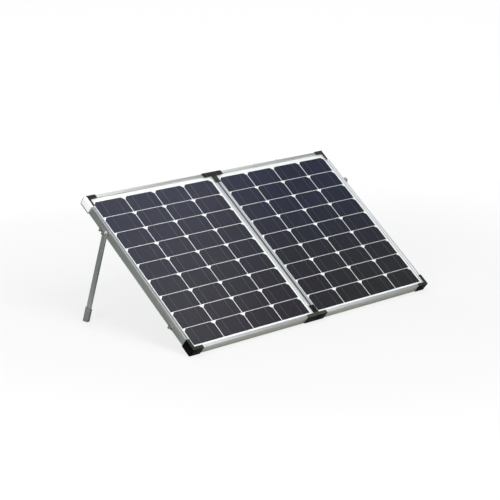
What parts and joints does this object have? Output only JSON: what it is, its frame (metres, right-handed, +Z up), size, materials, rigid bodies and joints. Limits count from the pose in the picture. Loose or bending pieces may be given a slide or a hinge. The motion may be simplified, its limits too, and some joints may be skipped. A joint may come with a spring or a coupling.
{
  "type": "folding solar suitcase kit",
  "caption": "Two framed solar panels hinged side by side, standing tilted on swinging legs, with corner caps, a charge controller, latches and a carry handle.",
  "frame": {"origin": "on the ground, at the middle of the standing kit's footprint (bounding box centre in x and y)", "axes": "+X to the right along the panels' lower edge as seen from the front, +Y to the back (the side the legs stand on), +Z up"},
  "size_m": [1.4076, 0.6754, 0.5038],
  "materials": {
    "frame_aluminium": "clear-anodised extrusion, satin",
    "cap_plastic": "black moulded plastic, fine grain",
    "bumper_plastic": "pale moulded plastic, satin",
    "panel_glass": "low-iron tempered glass, light dimpling",
    "solar_cell": "dark blue coated silicon with silver ribbons",
    "backsheet": "white film, matt",
    "zinc_steel": "zinc-plated steel",
    "leg_aluminium": "anodised tube, brushed along its length",
    "rubber": "black rubber, matt",
    "foot_rubber": "grey rubber, matt",
    "box_plastic": "black moulded plastic, grained",
    "controller_plastic": "dark grey moulded plastic",
    "face_plastic": "light grey moulded plate",
    "display": "unlit grey-green display window",
    "button_plastic": "blue push button",
    "cable_rubber": "black double-insulated cable"
  },
  "bodies": {
    "left_panel": {"frame_top_left": "frame_aluminium", "frame_bottom_left": "frame_aluminium", "frame_outer_left": "frame_aluminium", "frame_inner_left": "frame_aluminium", "corner_cap_bottom_outer_left": "cap_plastic", "corner_cap_bottom_inner_left": "cap_plastic", "corner_cap_top_outer_left": "cap_plastic", "corner_cap_top_inner_left": "cap_plastic", "corner_bumper_left": "bumper_plastic", "glass_left": "panel_glass", "cells_left": "solar_cell", "backsheet_left": "backsheet", "junction_box_left": "box_plastic", "junction_lid_left": "box_plastic", "hinge_lower_leaf_left": "zinc_steel", "hinge_upper_leaf_left": "zinc_steel", "hinge_lower_pin": "zinc_steel", "hinge_upper_pin": "zinc_steel", "leg_bolt_left": "zinc_steel", "latch_keeper_lower": "zinc_steel", "latch_keeper_upper": "zinc_steel", "controller_housing": "controller_plastic", "controller_faceplate": "face_plastic", "controller_display": "display", "cable_panel_left": "cable_rubber", "cable_jumper_left": "cable_rubber", "output_cable": "cable_rubber", "output_plug": "cap_plastic"},
    "right_panel": {"frame_top_right": "frame_aluminium", "frame_bottom_right": "frame_aluminium", "frame_outer_right": "frame_aluminium", "frame_inner_right": "frame_aluminium", "corner_cap_bottom_outer_right": "cap_plastic", "corner_cap_bottom_inner_right": "cap_plastic", "corner_cap_top_outer_right": "cap_plastic", "corner_cap_top_inner_right": "cap_plastic", "corner_bumper_right": "bumper_plastic", "glass_right": "panel_glass", "cells_right": "solar_cell", "backsheet_right": "backsheet", "junction_box_right": "box_plastic", "junction_lid_right": "box_plastic", "hinge_lower_leaf_right": "zinc_steel", "hinge_upper_leaf_right": "zinc_steel", "leg_bolt_right": "zinc_steel", "leg_spacer_right": "zinc_steel", "latch_base_lower": "zinc_steel", "latch_base_upper": "zinc_steel", "handle_bracket_inner": "zinc_steel", "handle_bracket_outer": "zinc_steel", "cable_jumper_right": "cable_rubber"},
    "left_leg": {"leg_left": "leg_aluminium", "foot_left": "foot_rubber"},
    "right_leg": {"leg_right": "leg_aluminium", "foot_right": "foot_rubber"},
    "upper_hook": {"latch_hook_upper": "zinc_steel"},
    "lower_hook": {"latch_hook_lower": "zinc_steel"},
    "handle": {"handle_bail": "zinc_steel", "handle_grip": "rubber"},
    "button": {"controller_button": "button_plastic"}
  },
  "joints": [
    {"name": "panel_fold", "type": "hinge", "parent": "left_panel", "child": "right_panel", "pos_m": [-0.00725, 0.00051, 0.23387], "axis": [0, 0.7986, 0.6018], "range_deg": [0, 180]},
    {"name": "left_leg_swing", "type": "hinge", "parent": "left_panel", "child": "left_leg", "pos_m": [-0.69475, 0.16038, 0.38064], "axis": [-1, 0, 0], "range_deg": [0, 69.4]},
    {"name": "right_leg_swing", "type": "hinge", "parent": "right_panel", "child": "right_leg", "pos_m": [0.69475, 0.16836, 0.38666], "axis": [-1, 0, 0], "range_deg": [0, 74.2]},
    {"name": "upper_latch", "type": "hinge", "parent": "right_panel", "child": "upper_hook", "pos_m": [0.67875, 0.17983, 0.39968], "axis": [-1, 0, 0], "range_deg": [0, 90]},
    {"name": "lower_latch", "type": "hinge", "parent": "right_panel", "child": "lower_hook", "pos_m": [0.67875, -0.21629, 0.10118], "axis": [-1, 0, 0], "range_deg": [0, 90]},
    {"name": "handle_swing", "type": "hinge", "parent": "right_panel", "child": "handle", "pos_m": [0.33375, 0.30723, 0.48817], "axis": [1, 0, 0], "range_deg": [0, 105]},
    {"name": "controller_button_press", "type": "slide", "parent": "left_panel", "child": "button", "axis": [0, -0.6018, 0.7986], "range_m": [0, 0.001]}
  ]
}
